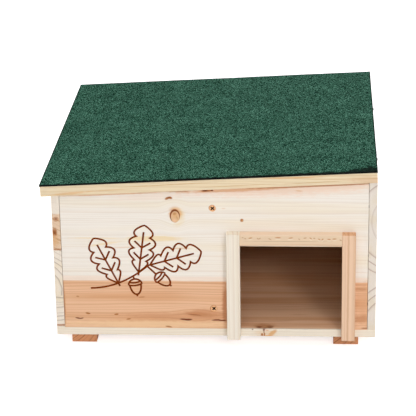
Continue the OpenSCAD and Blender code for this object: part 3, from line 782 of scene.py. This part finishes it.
def sprig_strokes():
    """Strokes of an oak sprig with leaves and acorns, in millimetres about its middle."""
    strokes = [(bow(Vector((-84, -46)), Vector((-40, -46)), Vector((2, -10))), False)]
    for root, lean, reach, half_width in (((6, -8), 16, 80, 22), ((-11, -20), 82, 76, 20),
                                          ((-42, -38), 116, 80, 20)):
        for points, closed in oak_leaf(reach, half_width):
            strokes.append((turned(points, math.radians(lean), Vector(root)), closed))
    for root, hang, lean, reach, half_width in (((-20, -26), (-18, -31), -82, 25, 10),
                                                ((2, -10), (15, -23), -40, 26, 10)):
        strokes.append(([Vector(root), Vector(hang)], False))
        for points, closed in acorn(reach, half_width):
            strokes.append((turned(points, math.radians(lean), Vector(hang)), closed))
    return strokes


def engrave(context, board, strokes, middle):
    """Cut round-bottomed grooves along the strokes into the board's front face, and scorch them."""
    sizes = context.scene.house_sizes
    half, depth = sizes.groove_width / 2, sizes.groove_depth
    radius = (half ** 2 + depth ** 2) / (2 * depth)
    lines = bpy.data.curves.new("sprig_lines", "CURVE")
    lines.dimensions = "3D"
    lines.bevel_depth = radius
    lines.bevel_resolution = 2
    lines.use_fill_caps = True
    for points, closed in strokes:
        spline = lines.splines.new("POLY")
        spline.points.add(len(points) - 1)
        spline.use_cyclic_u = closed
        for point, p in zip(spline.points, points):
            point.co = (*(middle + Vector((p.x * MM, depth - radius, p.y * MM))), 1.0)
    cutter = bpy.data.objects.new("sprig_cutter", lines)
    context.collection.objects.link(cutter)
    select_only(context, cutter)
    bpy.ops.object.convert(target="MESH")
    cutter.data.materials.clear()
    cutter.data.materials.append(scorched_pine(context.scene.house_colours, middle.y, depth))
    select_only(context, board)
    cut = board.modifiers.new("engraving", "BOOLEAN")
    cut.operation = "DIFFERENCE"
    cut.solver = "EXACT"
    cut.use_self = True
    cut.material_mode = "TRANSFER"
    cut.object = cutter
    bpy.ops.object.modifier_apply(modifier=cut.name)
    bpy.data.objects.remove(cutter)


class HOUSE_OT_door_frame(Operator):
    """Ease and finish the jambs and the lintel"""

    bl_idname = "house.door_frame"
    bl_label = "Door frame"

    def execute(self, context):
        c = context.scene.house_colours
        ease = context.scene.house_sizes.batten_ease
        pale = (c.cream_streak, c.cream_late, c.cream_early)
        peach = (c.peach_early, c.peach_late, c.peach_early)
        honey = (c.honey_early, c.honey_late, c.honey_early)
        low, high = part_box("right_jamb")
        middle, edge = (low.x + high.x) / 2 / MM, high.x / MM
        stripes = on_front((c.peach_late, 0.5, 0.3, middle - 1.0, 0, 2.2, 0, 0),
                           (c.peach_late, 0.5, 0.4, edge, 0, 3.2, 0, 0))
        low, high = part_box("lintel")
        left, top = low.x / MM, high.z / MM
        # Broken resin lines along the lintel: distance from its left, drop, half length and tilt
        warm = ((16, 4.8, 4.0, 10), (56.5, 3.9, 6.2, 0), (75.4, 4.2, 5.2, 5), (104.6, 4.6, 3.4, -35),
                (117, 6.0, 3.0, -25), (122, 6.2, 2.4, 35), (131.5, 6.0, 4.2, -5), (139.5, 5.4, 4.6, 5))
        grey = ((4.7, 4.2, 2.4, 0), (8.4, 5.7, 2.2, -20), (27, 5.6, 2.4, -30), (30, 5.4, 2.2, 35),
                (44.7, 6.2, 3.6, -25), (87.7, 6.0, 2.2, -45), (96.5, 4.2, 3.4, 12), (109.8, 4.6, 2.4, -10),
                (148.5, 7.2, 2.8, -25))
        streaks = on_front(
            # Pink band over the lintel's top face: partly pinker wood, partly painted light that makes the
            # top lighter than the front
            (c.blush, 0.35, 0.8, left, top, 0, 1.2, 0),
            (c.end_line, 0.3, 0.3, left + 70, top - 9.8, 90, 0.9, 0),
            (c.honey_late, 0.3, 0.3, left + 84, top - 14.2, 75, 0.7, 0),
            (c.cream_streak, 0.6, 0.3, left + 75, top - 17, 95, 1.1, 0),
            *((rgb, share, 0.3, left + x, top - z - drop, half, tall, tilt)
              for rgb, share, drop, tall, dashes in ((c.cream_streak, 0.5, 2.4, 1.2, warm),
                                                     (c.honey_late, 0.95, 0.0, 1.5, warm),
                                                     (c.knot_brown, 0.5, 0.0, 1.3, grey))
              for x, z, half, tilt in dashes))
        looks = {
            "left_jamb": pine("left_jamb_pine", "Z", (-70, -262), pale, ring=5.2, contrast=0.9, swing=2.0,
                              end_tint=(0.91, 0.9, 0.88), end_line=c.honey_late),
            "right_jamb": pine("right_jamb_pine", "Z", (110, -275), peach, ring=6.5, contrast=0.4, swing=3.0,
                               end_tint=(0.82, 0.67, 0.54), marks=stripes),
            "lintel": pine("lintel_pine", "X", (-226, 184), honey, ring=2.4, contrast=0.6, swing=1.2,
                           reach=(60.0, 9.0), marks=streaks),
        }
        dress_boards(context, looks, ease)
        return {"FINISHED"}


class HOUSE_OT_runners(Operator):
    """Ease and finish the runners"""

    bl_idname = "house.runners"
    bl_label = "Runners"

    def execute(self, context):
        c = context.scene.house_colours
        ease = context.scene.house_sizes.batten_ease
        tones = (c.runner_early, c.runner_late, c.runner_early)
        looks = {node: pine(f"{node}_pine", "Y", pith, tones, ring=4.6, contrast=1.0,
                            end_tint=(1.0, 0.98, 0.96), end_line=c.knot_rim, end_power=1.6)
                 for node, pith in (("left_runner", (-255, 66)), ("right_runner", (140, 72)))}
        dress_boards(context, looks, ease)
        return {"FINISHED"}


class HOUSE_OT_roof_board(Operator):
    """Ease and finish the roof board"""

    bl_idname = "house.roof_board"
    bl_label = "Roof board"

    def execute(self, context):
        c = context.scene.house_colours
        ease = context.scene.house_sizes.board_ease
        tones = (c.straw_early, c.straw_late, c.straw_early)
        streaks = on_front(
            (c.amber, 0.6, 0.3, -206, 249.6, 36, 2.6, 5.0),
            (c.amber, 0.45, 0.3, -150, 255, 60, 1.6, 4.0),
            (c.straw_late, 0.7, 0.3, -60, 264, 95, 1.2, 3.4),
            (c.straw_late, 0.6, 0.3, 40, 263, 80, 1.0, 3.2),
            (c.amber, 0.85, 0.4, 122, 275.7, 62, 1.3, 2.4),
            (c.straw_late, 0.6, 0.3, 160, 269, 80, 1.1, 3.6),
            (c.peach_late, 0.4, 0.2, 236, 273, 44, 9, 0))
        marked = knots(c, streaks, ((-70, 96, 0), (10, 7, 0)), ((118, -44, 0), (7, 5, 0)),
                       ((28, 176, 0), (5, 4, 0)), ((-168, -120, 0), (6, 5, 0)))
        material = pine("roof_pine", "X", (-330, 420), tones, ring=4.5, contrast=0.75, **marked)
        dress_boards(context, {"roof_board": material}, ease, "roof")
        return {"FINISHED"}


class HOUSE_OT_roof_felt(Operator):
    """Lay the mineral felt: a gritty top over a cut bitumen edge"""

    bl_idname = "house.roof_felt"
    bl_label = "Roof felt"

    def execute(self, context):
        c = context.scene.house_colours
        sizes = context.scene.house_sizes
        corners = [v.co for v in frame["nodes"]["roof_felt"].data.vertices]
        high = max(corners, key=lambda p: p.z)
        low = min(corners, key=lambda p: p.x)
        slope = math.atan2(high.z - low.z, high.x - low.x)
        across = math.hypot(high.x - low.x, high.z - low.z)
        front, rear = (corner.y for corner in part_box("roof_felt"))
        normal = Vector((-math.sin(slope), 0, math.cos(slope)))
        thick = -min((p - high).dot(normal) for p in corners)
        cells = [round(side / sizes.grit_step) for side in (across, rear - front)]

        bpy.ops.object.select_all(action="DESELECT")
        bpy.ops.mesh.primitive_grid_add(x_subdivisions=cells[0], y_subdivisions=cells[1], size=1.0)
        felt = context.view_layer.objects.active
        felt.name = "roof_felt_sheet"
        felt.scale = (across, rear - front, 1.0)
        bpy.ops.object.transform_apply(location=False, rotation=False, scale=True)
        # The relief is coarser than the grains, so that the mesh can carry it
        for title, kind, spacing, relief in (("grit", "VORONOI", 2.6 * MM, sizes.grit_relief),
                                             ("swell", "CLOUDS", 70 * MM, sizes.felt_swell)):
            texture = bpy.data.textures.new(title, kind)
            texture.noise_scale = spacing
            lift = felt.modifiers.new(title, "DISPLACE")
            lift.texture = texture
            lift.texture_coords = "LOCAL"
            lift.strength = relief
            lift.mid_level = 1.0
            bpy.ops.object.modifier_apply(modifier=lift.name)
        bpy.ops.object.mode_set(mode="EDIT")
        bpy.ops.mesh.select_mode(type="EDGE")
        bpy.ops.mesh.select_all(action="DESELECT")
        bpy.ops.mesh.select_non_manifold()
        bpy.ops.mesh.extrude_region_move(TRANSFORM_OT_translate={"value": (0, 0, -thick)})
        bpy.ops.transform.resize(value=(1, 1, 0), center_override=(0, 0, -thick))
        bpy.ops.mesh.edge_face_add()
        bpy.ops.mesh.select_all(action="SELECT")
        bpy.ops.mesh.normals_make_consistent(inside=False)
        bpy.ops.object.mode_set(mode="OBJECT")
        felt.data.materials.append(mineral_grit(c, *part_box("roof_felt")))
        felt.data.materials.append(cut_bitumen(c))
        for face in felt.data.polygons:
            face.material_index = 0 if face.normal.z > 0.3 else 1
        felt.location = ((high.x + low.x) / 2, (front + rear) / 2, (high.z + low.z) / 2)
        felt.rotation_euler = (0, -slope, 0)
        bpy.ops.object.transform_apply(location=True, rotation=True, scale=True)
        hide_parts("roof_felt")
        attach(felt, "roof")
        return {"FINISHED"}


class HOUSE_OT_screws(Operator):
    """Plate the wood screws"""

    bl_idname = "house.screws"
    bl_label = "Screws"

    def execute(self, context):
        colours = context.scene.house_colours
        plate("yellow_zinc_steel", plated_steel("yellow_zinc_steel", colours.yellow_zinc, 0.38))
        return {"FINISHED"}


class HOUSE_OT_hinges(Operator):
    """Plate the hinges, their pins and their screws"""

    bl_idname = "house.hinges"
    bl_label = "Hinges"

    def execute(self, context):
        colours = context.scene.house_colours
        plate("zinc_steel", plated_steel("bright_zinc_steel", colours.bright_zinc, 0.3))
        return {"FINISHED"}


WHITE = (1.0, 1.0, 1.0, 1.0)
FLOOR_SIZE = 40.0
FAR_CLIP = 100.0
# Share of the dome light's level at the horizon and straight above
DOME = (0.25, 1.35)
# Place and size of each lamp, in metres
LAMPS = {"key": ((1.61, -3.85, 2.08), 0.9), "front": ((0.2, -3.9, 1.9), 1.4), "left": ((-2.4, 0.6, 1.1), 1.4),
         "right": ((2.4, 0.6, 1.1), 1.4), "top": ((0.1, -1.3, 3.0), 1.8), "rear": ((0.6, 3.2, 1.0), 1.6)}


def seen_ray(tree):
    """Socket that is 1 for rays that show the background: straight from the camera, or by gloss or glass."""
    ray = add(tree, "ShaderNodeLightPath").outputs
    mirrored = add(tree, "ShaderNodeMath", {0: ray["Is Glossy Ray"], 1: ray["Is Transmission Ray"]},
                   operation="MAXIMUM").outputs[0]
    return add(tree, "ShaderNodeMath", {0: ray["Is Camera Ray"], 1: mirrored}, operation="MAXIMUM").outputs[0]


class HOUSE_OT_stage(Operator):
    """Set the floor, the even light, the lamps and the camera"""

    bl_idname = "house.stage"
    bl_label = "Stage"

    def execute(self, context):
        scene = context.scene
        s = scene.house_stage
        bpy.ops.object.select_all(action="DESELECT")
        bpy.ops.mesh.primitive_plane_add(size=FLOOR_SIZE)
        floor = context.view_layer.objects.active
        floor.name = "studio_floor"
        material, tree, shader, _ = new_material("pale_floor")
        glow = add(tree, "ShaderNodeMath", {0: seen_ray(tree), 1: s.floor_glow}, operation="MULTIPLY")
        feed(tree, shader, {"Base Color": opaque(s.floor), "Roughness": 0.9, "Emission Color": WHITE,
                            "Emission Strength": glow.outputs[0]})
        floor.data.materials.append(material)

        world = bpy.data.worlds.new("studio")
        world.use_nodes = True
        tree = world.node_tree
        tree.nodes.clear()
        way = add(tree, "ShaderNodeTexCoord").outputs["Generated"]
        up = add(tree, "ShaderNodeSeparateXYZ", {0: way}).outputs["Z"]
        horizon, zenith = (share * s.sky_level for share in DOME)
        dome = add(tree, "ShaderNodeMapRange", {"Value": up, "To Min": horizon, "To Max": zenith}).outputs[0]
        level = add(tree, "ShaderNodeMix", {0: seen_ray(tree), 2: dome, 3: 1.0}).outputs[0]
        sky = add(tree, "ShaderNodeBackground", {"Color": WHITE, "Strength": level})
        add(tree, "ShaderNodeOutputWorld", {"Surface": sky.outputs[0]})
        scene.world = world

        target = (Vector(cad_box[0]) + Vector(cad_box[1])) / 2
        for title, (place, size) in LAMPS.items():
            bpy.ops.object.light_add(type="AREA", location=place)
            lamp = context.view_layer.objects.active
            lamp.name = f"{title}_lamp"
            lamp.data.energy = getattr(s, f"{title}_power")
            lamp.data.size = size
            lamp.rotation_euler = (target - Vector(place)).to_track_quat("-Z", "Y").to_euler()

        turn = (Matrix.Rotation(s.camera_yaw, 3, "Z") @ Matrix.Rotation(math.pi / 2 - s.camera_pitch, 3, "X")
                @ Matrix.Rotation(s.camera_roll, 3, "Z"))
        bpy.ops.object.camera_add(location=s.camera_place, rotation=turn.to_euler())
        camera = context.view_layer.objects.active
        camera.data.lens = s.camera_lens
        camera.data.clip_end = FAR_CLIP
        scene.camera = camera
        scene.view_settings.view_transform = "Standard"
        return {"FINISHED"}


class HOUSE_PT_looks(Panel):
    """Buttons that dress the house, in the order in which they run"""

    bl_label = "Hedgehog House"
    bl_idname = "HOUSE_PT_looks"
    bl_space_type = "VIEW_3D"
    bl_region_type = "UI"
    bl_category = "Hedgehog House"

    def draw(self, context):
        for step in STEPS:
            self.layout.operator(step.bl_idname)
        for group in GROUPS:
            settings = getattr(context.scene, group)
            box = self.layout.box()
            for name in settings.bl_rna.properties.keys():
                if name not in ("rna_type", "name"):
                    box.prop(settings, name)


GROUPS = {"house_sizes": HouseSizes, "house_colours": HouseColours, "house_stage": StageSettings}
STEPS = (HOUSE_OT_stage, HOUSE_OT_boards, HOUSE_OT_front_panel, HOUSE_OT_door_frame, HOUSE_OT_runners,
         HOUSE_OT_roof_board, HOUSE_OT_roof_felt, HOUSE_OT_screws, HOUSE_OT_hinges)


def register():
    for cls in (*GROUPS.values(), *STEPS, HOUSE_PT_looks):
        bpy.utils.register_class(cls)
    for name, cls in GROUPS.items():
        setattr(bpy.types.Scene, name, PointerProperty(type=cls))


def unregister():
    for name in GROUPS:
        delattr(bpy.types.Scene, name)
    for cls in reversed((*GROUPS.values(), *STEPS, HOUSE_PT_looks)):
        bpy.utils.unregister_class(cls)


def main():
    register()
    for step in STEPS:
        group, name = step.bl_idname.split(".")
        getattr(getattr(bpy.ops, group), name)()


if __name__ == "__main__":
    main()
